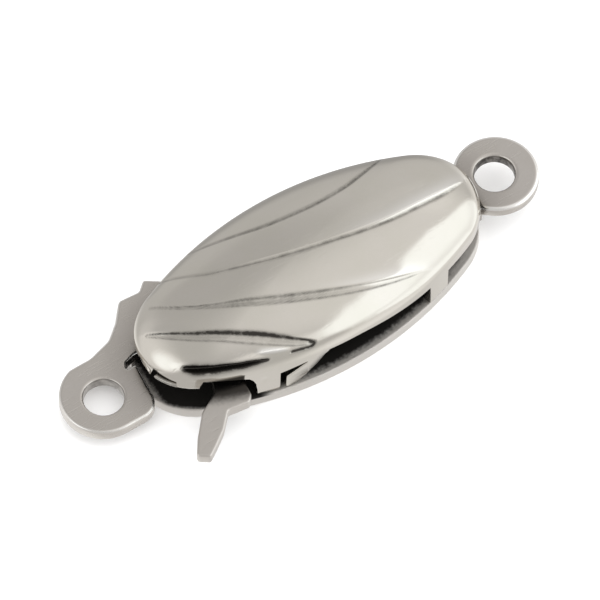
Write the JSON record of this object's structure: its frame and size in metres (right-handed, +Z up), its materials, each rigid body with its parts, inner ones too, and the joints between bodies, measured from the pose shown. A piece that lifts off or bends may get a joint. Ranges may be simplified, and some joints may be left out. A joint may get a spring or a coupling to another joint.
{
  "type": "jewellery clasp",
  "caption": "Oval domed box clasp in silver: a spring tongue with a thumb tab slides into a box under a grooved cover, with a ring plate at either end.",
  "frame": {"origin": "centre of the base plate's underside, under the middle of the oval cover", "axes": "+X to the ring on the box, along the clasp; +Y to the back, away from the thumb tab; +Z up, out of the dome"},
  "size_m": [0.0202, 0.0079, 0.0038],
  "materials": {
    "polished_silver": "polished, dark in its grooves",
    "rolled_silver": "rolled sheet, lightly scratched"
  },
  "bodies": {
    "box": {"base_plate": "rolled_silver", "ring_lug": "rolled_silver", "cover": "polished_silver"},
    "tongue": {"tongue": "rolled_silver"},
    "lever": {"lever": "rolled_silver"}
  },
  "joints": [
    {"name": "tongue_slide", "type": "slide", "parent": "box", "child": "tongue", "axis": [-1, 0, 0], "range_m": [0, 0.011]},
    {"name": "lever_press", "type": "hinge", "parent": "tongue", "child": "lever", "pos_m": [0.003, 0, 0.00115], "axis": [0, -1, 0], "range_deg": [0, 3], "stiffness_Nm_per_rad": 0.4}
  ]
}
